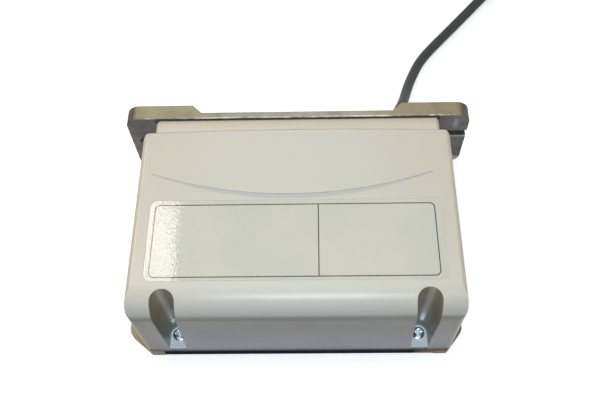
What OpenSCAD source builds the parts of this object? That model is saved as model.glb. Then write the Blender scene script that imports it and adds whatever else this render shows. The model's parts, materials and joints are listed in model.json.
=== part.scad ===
// Control box for an industrial sewing machine's servo drive, lying on its back.
// Millimetres. X runs across the box, Y from the near face to the mounting plate,
// Z up from the surface it lies on. The origin is the middle of the footprint.

/* [Cover] */
// Width of the cover across its side walls
cover_w = 220; // [200:1:240]
// Depth of the cover from its near face to the middle of its far wall
cover_d = 140; // [130:1:155]
// How far the far wall bows out between its ends
far_bow = 2; // [1:0.5:3]
// Height of the label face above the resting surface
cover_h = 85; // [80:1:100]
// Wall of the two mouldings
wall = 2.8; // [2.2:0.1:3.4]
// Radius of the long edge between the label face and the near face
near_edge_r = 18; // [12:1:24]
// Radius of the upright corners of the near face
near_corner_r = 4; // [3:0.5:8]
// Radius of the upright corners of the far wall
far_corner_r = 8; // [3:0.5:8]
// Radius along the top of the side walls and the far wall
side_edge_r = 3.5; // [3:0.5:6]

/* [Screw wells] */
// Distance of each cover screw from the middle of the box
screw_x = 86; // [80:1:90]
// Distance of the cover screws behind the near face
screw_in = 10; // [8:0.5:10]
// Distance of the middle of a well's round end behind the near face, in the label face
well_in = 8; // [7:0.5:9]
// Radius of a well where it opens in the label face
well_top_r = 8.2; // [7.5:0.1:9]
// Radius of a well at its ledge
well_ledge_r = 6.2; // [5.6:0.1:6.6]
// Height of the ledge that the screw head bears on
ledge_h = 12; // [9:0.5:13]
// Wall round a well
well_wall = 2.2; // [1.6:0.1:3]

/* [Label face] */
// Width of the label panel
label_w = 198; // [160:1:200]
// Depth of the label panel
label_d = 59; // [50:1:60]
// Distance of the panel's near edge from the near face
label_in = 21.5; // [19.5:0.5:22]
// Thickness of the panel and depth of its recess
label_t = 0.2; // [0.2:0.1:0.8]
// Radius of the panel's corners
label_r = 5; // [2:0.5:10]
// Span of the crescent groove
groove_span = 197; // [150:1:200]
// How far the groove sags in the middle
groove_sag = 20; // [12:0.5:20]
// Width of the groove in the middle
groove_w = 4; // [1.6:0.1:4.4]
// Width of the groove at its ends
groove_tip_w = 1.2; // [0.4:0.1:1.4]
// Depth of the groove
groove_depth = 0.4; // [0.3:0.1:1.2]
// Distance of the groove's ends from the near face
groove_in = 101.5; // [101:0.5:115]
// How far the groove's middle lies to the left of the box's middle
groove_off = 3; // [0:0.5:4]

/* [Rear cover] */
// Width of the rear cover
rear_w = 216; // [196:1:220]
// Height of the rear cover's top
rear_h = 62; // [56:1:64]
// Depth of the rear cover between the far wall and the plate
rear_d = 23; // [20:1:30]

/* [Base] */
// Width of the base casting across its flange
base_w = 242.4; // [240:0.1:256]
// How far the flange's middle lies to the left of the box's middle
base_off = 2.4; // [0:0.1:3]
// Thickness of the base casting
base_t = 6.5; // [5:0.5:7]
// How far the flange's near edge stands out in front of the near face
base_lead = 1; // [0.4:0.1:1.5]
// Leg of the slant across each near corner of the flange
base_slant = 14.5; // [10:0.5:15]
// Radius at the outer end of each slant
slant_r = 8; // [4:0.5:9]
// Radius at the near end of each slant
slant_near_r = 2.5; // [1:0.5:5]
// How far the flange's near edge is set back between its corners
toe_recess = 0.3; // [0.2:0.1:1]
// Width of the corner foot left on each side of that set-back
toe_w = 24; // [20:0.5:26]
// Depth of the cooling channels in the underside
channel_depth = 2.4; // [1.5:0.1:3]
// Width of a cooling channel
channel_w = 8; // [6:0.5:10]
// Spacing of the cooling channels
channel_pitch = 15; // [14:0.5:18]
// Height of the locating lip inside the cover
lip_h = 6; // [4:0.5:8]
// Thickness of the locating lip
lip_t = 2.4; // [1.6:0.1:3]

/* [Mounting plate] */
// Width of the mounting plate over its ears
plate_w = 264; // [262:1:280]
// Height of the mounting plate
plate_h = 65.5; // [64:0.5:70]
// Thickness of the plate between its feet
plate_t = 5; // [4:0.5:8]
// How far the feet stand out behind the plate
foot_t = 7; // [5.5:0.5:9]
// Width of each foot, ramp left out
foot_w = 52; // [48:1:54]
// Radius of the plate's upper corners
plate_top_r = 11; // [6:0.5:14]
// Radius of the plate's lower corners
plate_low_r = 8; // [4:0.5:10]
// Chamfer along the plate's front edges
plate_chamfer = 0.7; // [0.5:0.1:1.4]
// Radius of the ear hole and of the ear slot
ear_hole_r = 4.25; // [3.3:0.05:5]
// Distance of the ear hole from the ear's end
ear_hole_in = 10.5; // [9:0.5:12]
// Height of the ear hole
ear_hole_z = 35.5; // [28:0.5:40]
// Distance of the slot's round end from the ear's end
ear_slot_in = 18; // [14:0.5:20]
// Height of the ear slot
ear_slot_z = 40.5; // [30:0.5:46]

/* [Treadle lever] */
// Distance of the lever's shaft behind the near face
pivot_in = 62; // [56:1:80]
// Height of the lever's shaft
pivot_z = 44; // [43:1:46]
// Length of the lever from the shaft to the outer rod hole
lever_l = 34; // [30:0.5:35]
// Lean of the lever from straight down towards the near face
lever_lean = 42; // [40:1:50]
// Thickness of the lever arm
lever_t = 4; // [3:0.5:4]
// Radius of the lever's shaft
shaft_r = 4; // [3:0.5:4.5]
// Radius of the rod holes in the lever
rod_hole_r = 3.25; // [2.6:0.05:3.5]
// Distance between the two rod holes
rod_hole_step = 12; // [10:0.5:14]
// Radial clearance of the shaft in its bush
bush_gap = 0.05; // [0.02:0.01:0.09]

/* [Electronics] */
// Width of the main board
board_w = 176; // [160:1:180]
// Depth of the main board
board_d = 96; // [90:1:100]
// Height of the board's underside
board_z = 16; // [14:0.5:18]
// Thickness of the boards
board_t = 1.6; // [1:0.1:2]
// Radius of a bus capacitor
cap_r = 12.5; // [10:0.5:13]
// Height of a bus capacitor
cap_h = 45; // [30:1:48]

/* [Mains lead] */
// Diameter of the mains lead
lead_dia = 8.6; // [8:0.1:8.6]
// Distance between neighbouring turns of the coil
turn_pitch = 9.1; // [9.1:0.1:9.4]
// Radius of the coil's outer turn
coil_r = 60; // [60:0.5:64]
// Width of the tie round the coil
tie_w = 12; // [6:1:20]
// Length of the plug's body
plug_l = 34; // [28:1:42]

/* [Hidden] */

$fn = 48;
eps = 0.01;
fit_gap = 0.2;      // between pieces that are slipped together
screw_gap = 0.05;   // round a screw in its tapped hole
clear_gap = 0.3;    // round a screw that only passes through
cut = 1;            // how far a cut runs on past the face it opens
least_r = 0.6;      // smallest inner corner

// ---- where the main faces lie
plate_front = cover_d + rear_d;                 // measured from the near face
plate_back = plate_front + plate_t;
table_face = plate_back + foot_t;
near_y = (base_lead - table_face) / 2;          // Y of the near face
cover_top = cover_h;
side_x = cover_w / 2;
inner_x = side_x - wall;
shell_floor = base_t;                           // the mouldings stand on the flange
board_top = board_z + board_t;

// ---- screws: shank radius, head radius, head height
m4 = [2, 4, 2.6];
m3 = [1.5, 2.8, 2];
m5 = [2.5, 4.4, 3];
washer_r = 4.6;
washer_t = 0.8;
cross_w = 1;                                    // cross recess in a head
cross_share = 1.3;                              // its length over the head's radius
cross_depth = 0.6;                              // its depth over the head's height
dome_share = 0.45;                              // height of a head's crown over the head's height
crown_share = 0.7;                              // radius of its top over the head's radius
thread_share = 2;                               // thread engaged, in screw diameters
tap_rest = 0.5;                                 // left free below a screw in a blind hole
function bite(size) = thread_share * 2 * size[0];

module at_near() translate([0, near_y, 0]) children();

// rectangle from lo to hi; r = radii of the corners at low-low, high-low, high-high, low-high
module round_rect(lo, hi, r) {
    ends = [[lo.x, lo.y], [hi.x, lo.y], [hi.x, hi.y], [lo.x, hi.y]];
    flips = [[1, 1], [-1, 1], [-1, -1], [1, -1]];
    difference() {
        translate(lo) square(hi - lo);
        for (i = [0:3])
            if (r[i] > 0)
                translate(ends[i])
                    mirror([flips[i].x < 0 ? 1 : 0, 0])
                        mirror([0, flips[i].y < 0 ? 1 : 0])
                            difference() {
                                translate([-cut, -cut]) square(r[i] + cut);
                                translate([r[i], r[i]]) circle(r[i]);
                            }
    }
}

// a 2D shape drawn in Y and Z, extruded along X from x0 to x1
module along_x(x0, x1)
    translate([x0, 0, 0]) rotate([90, 0, 90]) linear_extrude(x1 - x0) children();

// a 2D shape drawn in X and Z, extruded along Y from y0 to y1
module along_y(y0, y1)
    translate([0, y1, 0]) rotate([90, 0, 0]) linear_extrude(y1 - y0) children();

// a rod along +X, +Y or +Z from a point
module rod_x(p, r, l) translate(p) rotate([0, 90, 0]) cylinder(r = r, h = l);
module rod_y(p, r, l) translate(p) rotate([-90, 0, 0]) cylinder(r = r, h = l);
module rod_z(p, r, l) translate(p) cylinder(r = r, h = l);

// pan-head screw: head from z = 0 up, shank below
module pan_screw(size, l) {
    dome = size[2] * dome_share;
    difference() {
        union() {
            cylinder(r = size[1], h = size[2] - dome);
            translate([0, 0, size[2] - dome]) cylinder(r1 = size[1], r2 = size[1] * crown_share, h = dome);
            translate([0, 0, -l]) cylinder(r = size[0], h = l + eps);
        }
        for (a = [0, 90])
            rotate(a)
                translate([-size[1] * cross_share / 2, -cross_w / 2, size[2] * (1 - cross_depth)])
                    cube([size[1] * cross_share, cross_w, size[2]]);
    }
}

// ---- the closed form of the cover, drawn in by d on every side but the bottom
bow_r = (side_x * side_x + far_bow * far_bow) / (2 * far_bow);
bow_fn = 720;
bow_gap = 0.3;                                  // between the far wall and the rear cover
module at_bow() translate([0, cover_d - bow_r, 0]) children();

// its plan without the bow, but with far corners that run smoothly into it
module corner_plan(d) {
    near_r = max(near_corner_r - d, least_r);
    far_r = max(far_corner_r - d, least_r);
    corner_x = side_x - d - far_r;
    corner_y = cover_d - bow_r + sqrt(pow(bow_r - d - far_r, 2) - corner_x * corner_x);
    difference() {
        round_rect([-side_x + d, d], [side_x - d, cover_d], [near_r, near_r, 0, 0]);
        for (s = [-1, 1]) difference() {
            translate([s > 0 ? corner_x : -corner_x - far_r - cut, corner_y])
                square([far_r + cut, cover_d - corner_y + cut]);
            translate([s * corner_x, corner_y]) circle(far_r);
        }
    }
}

module cover_block(d, floor_z) {
    edge_r = max(side_edge_r - d, least_r);
    big_r = max(near_edge_r - d, least_r);
    intersection() {
        translate([0, 0, floor_z]) linear_extrude(cover_h - d - floor_z) corner_plan(d);
        along_x(-side_x, side_x)
            round_rect([d, floor_z - cut], [cover_d, cover_h - d], [0, 0, 0, big_r]);
        along_y(0, cover_d)
            round_rect([-side_x + d, floor_z - cut], [side_x - d, cover_h - d], [0, 0, edge_r, edge_r]);
        at_bow() rotate_extrude($fn = bow_fn)
            round_rect([0, floor_z - cut], [bow_r - d, cover_h - d], [0, 0, edge_r, 0]);
    }
}

// ---- a well: cone down to the ledge, open through the near face
// its axis leans back a little from the label face down to the screw
well_rise = cover_h - ledge_h;
well_lean = atan((screw_in - well_in) / well_rise);
well_spare = 4;                                 // drawn past both ends, then trimmed
module well_form(grow, floor_z) {
    slope = (well_top_r - well_ledge_r) / well_rise;
    low_r = well_ledge_r + grow - well_spare * slope;
    high_r = well_top_r + grow + well_spare * slope;
    reach = screw_in + well_top_r + grow + cut;
    intersection() {
        translate([0, screw_in, ledge_h]) rotate([well_lean, 0, 0]) {
            translate([0, 0, -well_spare]) cylinder(r1 = low_r, r2 = high_r, h = well_rise + 2 * well_spare);
            along_y(-2 * screw_in, 0)
                polygon([[-low_r, -well_spare], [low_r, -well_spare], [high_r, well_rise + well_spare],
                    [-high_r, well_rise + well_spare]]);
        }
        translate([-high_r - cut, -cut, floor_z])
            cube([2 * (high_r + cut), reach + cut, cover_h - floor_z + cut]);
    }
}
ledge_t = 2;                                    // wall under the ledge
boss_top = ledge_h - ledge_t;
well_boss_r = screw_in - wall - fit_gap;        // the base's boss stands inside the near wall

module each_well() for (s = [-1, 1]) translate([s * screw_x, 0, 0]) children();

// ---- crescent groove between two arcs, drawn in X and Y from the near face
groove_fn = 180;
function arc_r(span, sag) = (span * span / 4 + sag * sag) / (2 * sag);
module groove_shape() {
    low_r = arc_r(groove_span, groove_sag);
    high_sag = groove_sag - groove_w + groove_tip_w;
    high_r = arc_r(groove_span, high_sag);
    low_y = groove_in - groove_sag;
    translate([-groove_off, 0]) intersection() {
        difference() {
            translate([0, low_y + low_r]) circle(low_r, $fn = groove_fn);
            translate([0, low_y + groove_w + high_r]) circle(high_r, $fn = groove_fn);
        }
        translate([-groove_span / 2, low_y - cut])
            square([groove_span, groove_sag + groove_tip_w + cut]);
    }
}

// ---- stiffening ribs under the label face
rib_t = 1.6;
rib_h = 5;
rib_count = 4;
module ceiling_ribs() {
    rib_gap = inner_x * 2 / (rib_count + 1);
    for (i = [1:rib_count])
        translate([-inner_x + i * rib_gap - rib_t / 2, near_edge_r, cover_h - wall - rib_h])
            cube([rib_t, cover_d - near_edge_r - wall, rib_h + eps]);
}

// ---- sockets that show in the right wall: centre from the near face, width, height, ways
motor_y = 98;
motor_w = 26;
motor_hgt = 14;
head_y = 60;
head_w = 40;
head_hgt = 14;
socket_l = 22;
socket_wall = 1.8;
socket_mouth_l = 12;
pin_w = 1.2;
pin_l = 6;
pin_margin = 8;                                 // socket's width that holds no pins
pin_row = 4.4;                                  // distance between the rows

module socket_hole(y, w, h)
    translate([inner_x - cut, y - w / 2 - fit_gap, board_top - fit_gap])
        cube([wall + 2 * cut, w + 2 * fit_gap, h + 2 * fit_gap]);

// ---- speed sensor on the left wall: everything is set out from the shaft's axis
case_half_y = 22;
case_half_z = 17;
case_l = 36;
case_wall = 2.2;
case_corner_r = 2;
case_inner_r = 1;
case_lid_t = 2;
case_post_r = 3.2;
bush_r = 7;
bush_flange_r = 8.6;
bush_flange_t = 1.4;
boss_l = 12;
boss_r = 10;
bush_proud = 0.8;
case_x = -inner_x;                              // the case's outer face, on the wall
bush_out_x = -side_x - bush_proud;
bush_in_x = case_x + boss_l;
sensor_screw_at = [[17, 12], [-17, 12], [17, -12]];
module at_pivot() translate([0, near_y + pivot_in, pivot_z]) children();

module top_cover() {
    color([0.83, 0.81, 0.76])
    difference() {
        union() {
            at_near() difference() {
                cover_block(0, shell_floor);
                cover_block(wall, shell_floor - cut);
            }
            at_near() intersection() {
                cover_block(0, shell_floor);
                union() {
                    each_well() well_form(well_wall, boss_top);
                    ceiling_ribs();
                }
            }
        }
        at_near() each_well() well_form(0, ledge_h);
        at_near() each_well() rod_z([0, screw_in, 0], m4[0] + clear_gap, ledge_h + cut);
        at_near() translate([0, 0, cover_h - groove_depth])
            linear_extrude(groove_depth + cut) groove_shape();
        at_near() translate([0, 0, cover_h - label_t])
            linear_extrude(label_t + cut) label_outline(fit_gap / 2);
        at_near() socket_hole(motor_y, motor_w, motor_hgt);
        at_near() socket_hole(head_y, head_w, head_hgt);
        at_pivot() {
            rod_x([-side_x - cut, 0, 0], bush_r + fit_gap / 2, wall + 2 * cut);
            for (p = sensor_screw_at)
                rod_x([-side_x - cut, p.x, p.y], m3[0] + clear_gap, wall + 2 * cut);
        }
        // mouse hole for the wiring between the board and the rear bay
        at_near() translate([wire_gap_x - wire_gap_w / 2, cover_d - far_bow - wall - cut, shell_floor + lip_h])
            cube([wire_gap_w, far_bow + wall + 2 * cut, wire_gap_h]);
    }
}
wire_gap_w = 60;
wire_gap_x = 40;
wire_gap_h = 24;

module label_outline(grow)
    round_rect([-label_w / 2 - grow, label_in - grow], [label_w / 2 + grow, label_in + label_d + grow],
        [label_r, label_r, label_r, label_r]);

module label_panel() {
    color([0.80, 0.79, 0.75])
    at_near() translate([0, 0, cover_h - label_t]) linear_extrude(label_t) label_outline(0);
}

// ---- rear cover: top and two sides between the far wall and the plate
rear_screw_in = 66;                             // from the plate's end
rear_screw_x = plate_w / 2 - rear_screw_in;
rear_screw_drop = 9;                            // below the rear cover's top
rear_boss_r = 4.5;
rear_near = cover_d - far_bow;                  // at the ends of the far wall
rear_corner_r = 3;

module rear_block(d, y0, y1) {
    edge_r = max(side_edge_r - d, least_r);
    along_y(y0, y1)
        round_rect([-rear_w / 2 + d, shell_floor - (d > 0 ? cut : 0)], [rear_w / 2 - d, rear_h - d],
            [0, 0, edge_r, edge_r]);
}

module rear_cover() {
    screw_z = rear_h - rear_screw_drop;
    color([0.81, 0.78, 0.71])
    at_near() difference() {
        union() {
            difference() {
                intersection() {
                    rear_block(0, rear_near, plate_front);
                    linear_extrude(rear_h + cut)
                        round_rect([-rear_w / 2, rear_near], [rear_w / 2, plate_front],
                            [0, 0, rear_corner_r, rear_corner_r]);
                }
                rear_block(wall, rear_near - cut, plate_front + cut);
            }
            for (s = [-1, 1]) {
                rod_y([s * rear_screw_x, rear_near, screw_z], rear_boss_r, plate_front - rear_near);
                translate([s * rear_screw_x - rib_t / 2, rear_near, screw_z])
                    cube([rib_t, plate_front - rear_near, rear_screw_drop - wall / 2]);
            }
        }
        for (s = [-1, 1])
            rod_y([s * rear_screw_x, rear_near - cut, screw_z], m3[0] + screw_gap, plate_front);
        at_bow() cylinder(r = bow_r + bow_gap, h = rear_h + cut, $fn = bow_fn);
    }
}

// ---- base casting
board_side_gap = 14;                            // from the right wall's face to the board
board_right = side_x - board_side_gap;
board_left = board_right - board_w;
board_near = 26;                                // its near edge, from the near face
board_far = board_near + board_d;
post_r = 4;
post_inset = 6;
board_post = [for (x = [board_left + post_inset, board_right - post_inset],
    y = [board_near + post_inset, board_far - post_inset]) [x, y]];
plate_screw_in = 15;                            // outer plate screws from the rear cover's sides
plate_screw_mid = 30;                           // inner plate screws from the middle
plate_screw_out = rear_w / 2 - plate_screw_in;
plate_screw_x = [-plate_screw_out, -plate_screw_mid, plate_screw_mid, plate_screw_out];
plate_screw_z = 14;
plate_boss_w = 16;
plate_boss_l = 14;
plate_boss_h = 24;
plate_boss_blind = 2;                           // left whole behind each tapped hole
module_in = [126, 52];                          // from the board's right and near edges, as the next ones
choke_in = [139, 36];
relay_in = [117.5, 13];
fuse_in = [52, 18];
module_x = board_right - module_in.x;
module_y = board_near + module_in.y;
module_w = 44;
module_d = 26;
module_t = 5.5;
module_pad_h = 2;
module_pad_edge = 2;                            // pad beyond the module on every side
module_screw_in = 3.5;                          // its screws from its ends
module_screw_x = module_w / 2 - module_screw_in;
module_pins = 10;
module_pin_step = 4;
module_pin_w = 0.8;
earth_x = -60;
earth_in = 9;                                   // behind the cover's far wall
earth_y = cover_d + earth_in;
lip_gap = fit_gap;
lip_well_gap = 1;
hull_fn = 32;
hole_floor = 3.5;                               // tapped holes stop above the channels
channel_in = 18;                                // where the channels start, from the near face

// the flange's outline; its sides lie to the left by base_off, but its near edge is in the
// middle, and each slant between them is rounded at both ends
slant_turn = 45;
module flange_plan() {
    half = base_w / 2;
    outer_y = base_slant + slant_r * tan(slant_turn / 2);
    near_x = half - base_slant - slant_near_r * tan(slant_turn / 2);
    hull() for (s = [-1, 1]) {
        translate([s * near_x, slant_near_r]) circle(slant_near_r, $fn = hull_fn);
        translate([s * (half - slant_r) - base_off, outer_y]) circle(slant_r, $fn = hull_fn);
        translate([s * (half - slant_r) - base_off - slant_r, plate_front + base_lead - slant_r])
            square([2 * slant_r, slant_r]);
    }
}

module base_plan()
    translate([0, -base_lead]) difference() {
        flange_plan();
        translate([toe_w - base_w / 2, -cut]) square([base_w - 2 * toe_w, toe_recess + cut]);
    }

module bowed_plan(d)
    intersection() {
        corner_plan(d);
        at_bow() circle(bow_r - d, $fn = bow_fn);
    }

module lip_ring() {
    d = wall + lip_gap;
    difference() {
        bowed_plan(d);
        bowed_plan(d + lip_t);
        each_well()
            translate([-well_ledge_r - well_wall - lip_well_gap, 0])
                square([2 * (well_ledge_r + well_wall + lip_well_gap), screw_in + well_top_r + well_wall]);
    }
}

module base_casting() {
    channel_n = floor((base_w / 2 - base_off - base_slant - channel_w) / channel_pitch);
    color([0.56, 0.52, 0.42])
    at_near() difference() {
        union() {
            linear_extrude(base_t) base_plan();
            translate([0, 0, base_t - eps]) linear_extrude(lip_h + eps) lip_ring();
            each_well() rod_z([0, screw_in, base_t - eps], well_boss_r, boss_top - base_t + eps);
            for (p = board_post) rod_z([p.x, p.y, base_t - eps], post_r, board_z - base_t + eps);
            for (x = plate_screw_x)
                translate([x - plate_boss_w / 2, plate_front - plate_boss_l, base_t - eps])
                    cube([plate_boss_w, plate_boss_l, plate_boss_h - base_t + eps]);
            translate([module_x - module_w / 2 - module_pad_edge, module_y - module_d / 2 - module_pad_edge,
                base_t - eps])
                cube([module_w + 2 * module_pad_edge, module_d + 2 * module_pad_edge, module_pad_h + eps]);
            rod_z([earth_x, earth_y, base_t - eps], post_r, lip_h / 2);
        }
        for (i = [0:channel_n - 1], s = [-1, 1])
            translate([s * (i + 0.5) * channel_pitch - channel_w / 2, channel_in, -cut])
                cube([channel_w, cover_d - channel_in - wall, channel_depth + cut]);
        each_well() rod_z([0, screw_in, -cut], m4[0] + screw_gap, ledge_h + 2 * cut);
        for (p = board_post) rod_z([p.x, p.y, hole_floor], m3[0] + screw_gap, board_z);
        for (x = plate_screw_x)
            rod_y([x, plate_front - plate_boss_l + plate_boss_blind, plate_screw_z], m5[0] + screw_gap,
                plate_boss_l);
        for (s = [-1, 1])
            rod_z([module_x + s * module_screw_x, module_y, hole_floor], m3[0] + screw_gap, board_z);
        rod_z([earth_x, earth_y, hole_floor], m4[0] + screw_gap, lip_h);
    }
}

// ---- mounting plate
lead_in = 42;                                   // the lead's hole from the rear cover's side
lead_x = rear_w / 2 - lead_in;
lead_z = 15;
ear_hole_x = plate_w / 2 - ear_hole_in;
ear_slot_x = plate_w / 2 - ear_slot_in;
boot_neck_r = 5.6;
counter_r = 5.2;

module plate_outline(d)
    round_rect([-plate_w / 2 + d, d], [plate_w / 2 - d, plate_h - d],
        [plate_low_r - d, plate_low_r - d, plate_top_r - d, plate_top_r - d]);

module foot_plan() {                            // seen from above: X and Y
    outer = plate_w / 2;
    inner = outer - foot_w;
    polygon([[inner - foot_t, plate_back - eps], [inner, table_face], [outer, table_face],
        [outer, plate_back - eps]]);
}

module mounting_plate() {
    rear_screw_z = rear_h - rear_screw_drop;
    hole_l = table_face - plate_front + 2 * cut;
    color([0.58, 0.56, 0.48])
    at_near() difference() {
        union() {
            hull() {
                along_y(plate_front, plate_front + eps) plate_outline(plate_chamfer, $fn = hull_fn);
                along_y(plate_front + plate_chamfer, plate_front + plate_chamfer + eps)
                    plate_outline(0, $fn = hull_fn);
            }
            along_y(plate_front + plate_chamfer, plate_back) plate_outline(0);
            intersection() {
                along_y(plate_back - cut, table_face) plate_outline(0);
                linear_extrude(plate_h) foot_plan();
            }
            mirror([1, 0, 0]) intersection() {
                along_y(plate_back - cut, table_face) plate_outline(0);
                linear_extrude(plate_h) foot_plan();
            }
        }
        // ear hole on the left, slot open to the edge on the right
        rod_y([-ear_hole_x, plate_front - cut, ear_hole_z], ear_hole_r, hole_l);
        rod_y([ear_slot_x, plate_front - cut, ear_slot_z], ear_hole_r, hole_l);
        translate([ear_slot_x, plate_front - cut, ear_slot_z - ear_hole_r])
            cube([ear_slot_in + cut, hole_l, 2 * ear_hole_r]);
        for (x = plate_screw_x) {
            rod_y([x, plate_front - cut, plate_screw_z], m5[0] + clear_gap, plate_t + 2 * cut);
            rod_y([x, plate_back, plate_screw_z], counter_r, foot_t + cut);
        }
        for (s = [-1, 1])
            rod_y([s * rear_screw_x, plate_front - cut, rear_screw_z], m3[0] + clear_gap, plate_t + 2 * cut);
        rod_y([lead_x, plate_front - cut, lead_z], boot_neck_r + screw_gap, plate_t + 2 * cut);
    }
}

// ---- screws of the housing
module cover_screws() {
    color([0.80, 0.81, 0.82])
    at_near() each_well() translate([0, screw_in, ledge_h + washer_t]) pan_screw(m4, ledge_h);
}

module cover_washers() {
    color([0.72, 0.73, 0.74])
    at_near() each_well() translate([0, screw_in, ledge_h]) difference() {
        cylinder(r = washer_r, h = washer_t);
        translate([0, 0, -cut]) cylinder(r = m4[0] + screw_gap, h = washer_t + 2 * cut);
    }
}

module plate_screws() {
    color([0.70, 0.70, 0.71])
    at_near() for (x = plate_screw_x)
        translate([x, plate_back, plate_screw_z]) rotate([-90, 0, 0])
            pan_screw(m5, plate_t + bite(m5));
}

module rear_screws() {
    color([0.70, 0.70, 0.71])
    at_near() for (s = [-1, 1])
        translate([s * rear_screw_x, plate_back, rear_h - rear_screw_drop])
            rotate([-90, 0, 0]) pan_screw(m3, plate_t + 2 * bite(m3));
}

// ---- speed sensor: case, lid, bush and spring stay with the box
seat_drop = 4;                                  // the sensor's board sits this far inside the case
board_seat = case_l - seat_drop;
hall_half_y = 15;
hall_half_z = 12;
seat_w = 4;
seat_y = 16;

module case_outline(d, r)
    round_rect([-case_half_y + d, -case_half_z + d], [case_half_y - d, case_half_z - d], [r, r, r, r]);

module sensor_case() {
    color([0.16, 0.17, 0.18])
    at_pivot() difference() {
        union() {
            difference() {
                along_x(case_x, case_x + case_l)
                    case_outline(0, case_corner_r);
                along_x(case_x + case_wall, case_x + case_l + cut)
                    case_outline(case_wall, case_inner_r);
            }
            rod_x([case_x, 0, 0], boss_r, boss_l);
            for (p = sensor_screw_at) rod_x([case_x, p.x, p.y], case_post_r, boss_l);
            for (s = [-1, 1])
                translate([case_x + case_wall - eps, s * seat_y - seat_w / 2, case_wall / 2 - case_half_z])
                    cube([board_seat - case_wall, seat_w, seat_w]);
        }
        rod_x([case_x - cut, 0, 0], bush_r + screw_gap, boss_l + 2 * cut);
        for (p = sensor_screw_at) rod_x([case_x - cut, p.x, p.y], m3[0] + screw_gap, boss_l);
    }
}

module sensor_lid() {
    color([0.20, 0.21, 0.22])
    at_pivot() along_x(case_x + case_l, case_x + case_l + case_lid_t) case_outline(0, case_corner_r);
}

module sensor_screws() {
    color([0.74, 0.75, 0.76])
    at_pivot() for (p = sensor_screw_at)
        translate([-side_x, p.x, p.y]) rotate([0, -90, 0]) pan_screw(m3, wall + bite(m3));
}

module shaft_bush() {
    color([0.72, 0.55, 0.28])
    at_pivot() difference() {
        union() {
            rod_x([bush_out_x, 0, 0], bush_r, bush_in_x - bush_out_x);
            rod_x([bush_in_x, 0, 0], bush_flange_r, bush_flange_t);
        }
        rod_x([bush_out_x - cut, 0, 0], shaft_r + bush_gap, bush_in_x - bush_out_x + bush_flange_t + 2 * cut);
    }
}

hall_x = case_x + board_seat;
module hall_board() {
    color([0.10, 0.34, 0.18])
    at_pivot() translate([hall_x, -hall_half_y - seat_w / 2, -case_half_z + case_wall + fit_gap])
        cube([board_t, 2 * hall_half_y + seat_w, 2 * hall_half_z + seat_w]);
}

// a closed tube through rings of points; rings = list of lists with equal counts
function ring_faces(n, m) = concat(
    [[for (j = [m - 1:-1:0]) j]],
    [[for (j = [0:m - 1]) (n - 1) * m + j]],
    [for (i = [0:n - 2], j = [0:m - 1]) let (k = (j + 1) % m)
        [i * m + j, i * m + k, (i + 1) * m + k]],
    [for (i = [0:n - 2], j = [0:m - 1]) let (k = (j + 1) % m)
        [i * m + j, (i + 1) * m + k, (i + 1) * m + j]]);
module ring_tube(rings) {
    m = len(rings[0]);
    polyhedron([for (ring = rings) for (p = ring) p], ring_faces(len(rings), m), convexity = 10);
}
function unit(v) = v / norm(v);
// ring of m points round p, square to the direction t, with "up" as its other guide
function ring_at(p, t, up, r, m) = let (s = unit(cross(up, t)), u = cross(t, s))
    [for (j = [0:m - 1]) p + r * (cos(j * 360 / m) * s + sin(j * 360 / m) * u)];

// ---- return spring: close turns of wire round the shaft
wire_r = 0.6;
spring_r = 6;
spring_turns = 4;
spring_pitch = 1.7;
spring_steps = 8;
ring_gap = 0.1;
clip_t = 0.8;
clip_x = bush_in_x + bush_flange_t + ring_gap;
spring_x0 = clip_x + clip_t + 2 * wire_r;
function spring_p(t) = [spring_x0 + t * spring_pitch, spring_r * cos(360 * t), spring_r * sin(360 * t)];
function spring_t(t) = unit([spring_pitch / (2 * PI), -spring_r * sin(360 * t), spring_r * cos(360 * t)]);
spring_leg = 3;
module return_spring() {
    n = spring_turns * spring_steps;
    start = spring_p(0);
    last = spring_p(spring_turns);
    rings = concat(
        [ring_at(start - spring_leg * spring_t(0), spring_t(0), [1, 0, 0], wire_r, 6)],
        [for (i = [0:n]) let (t = i / spring_steps) ring_at(spring_p(t), spring_t(t), [1, 0, 0], wire_r, 6)],
        [ring_at(last + spring_leg * spring_t(spring_turns), spring_t(spring_turns), [1, 0, 0], wire_r, 6)]);
    echo(spring_self_gap = spring_pitch - 2 * wire_r);
    color([0.75, 0.76, 0.78]) at_pivot() ring_tube(rings);
}

// ---- what turns with the treadle lever
hub_gap = 0.4;
hub_l = 6.5;
hub_r = 8;
hub_in_x = bush_out_x - hub_gap;
hub_out_x = hub_in_x - hub_l;
arm_in = 1.2;                                   // the arm behind the hub's outer face
arm_x = hub_out_x + arm_in;
tip_r = 6.5;
set_screw = [1.5, 3.5];                         // radius, length
set_hex_depth = 1.6;
carrier_x = spring_x0 + spring_turns * spring_pitch + 2 * wire_r;
carrier_l = 3.4;
carrier_r = 9.5;
shaft_in_x = carrier_x + carrier_l;
clip_groove = 0.6;
clip_r = 6.4;
clip_mouth = 0.62;                              // its opening over the shaft's diameter
magnet = [2, 2.4];                              // radius, length
magnet_out = 6.6;
magnet_seat = 1.2;
module at_lever() at_pivot() rotate([-lever_lean, 0, 0]) children();

module lever_shaft() {
    color([0.62, 0.63, 0.65])
    at_pivot() difference() {
        rod_x([hub_out_x, 0, 0], shaft_r, shaft_in_x - hub_out_x);
        difference() {
            rod_x([clip_x, 0, 0], shaft_r + cut, clip_t);
            rod_x([clip_x - cut, 0, 0], shaft_r - clip_groove, clip_t + 2 * cut);
        }
    }
}

module lever_outline() {
    circle(hub_r);
    translate([0, -lever_l]) circle(tip_r);
    polygon([[-hub_r, 0], [-tip_r, -lever_l], [tip_r, -lever_l], [hub_r, 0]]);
}

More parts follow.
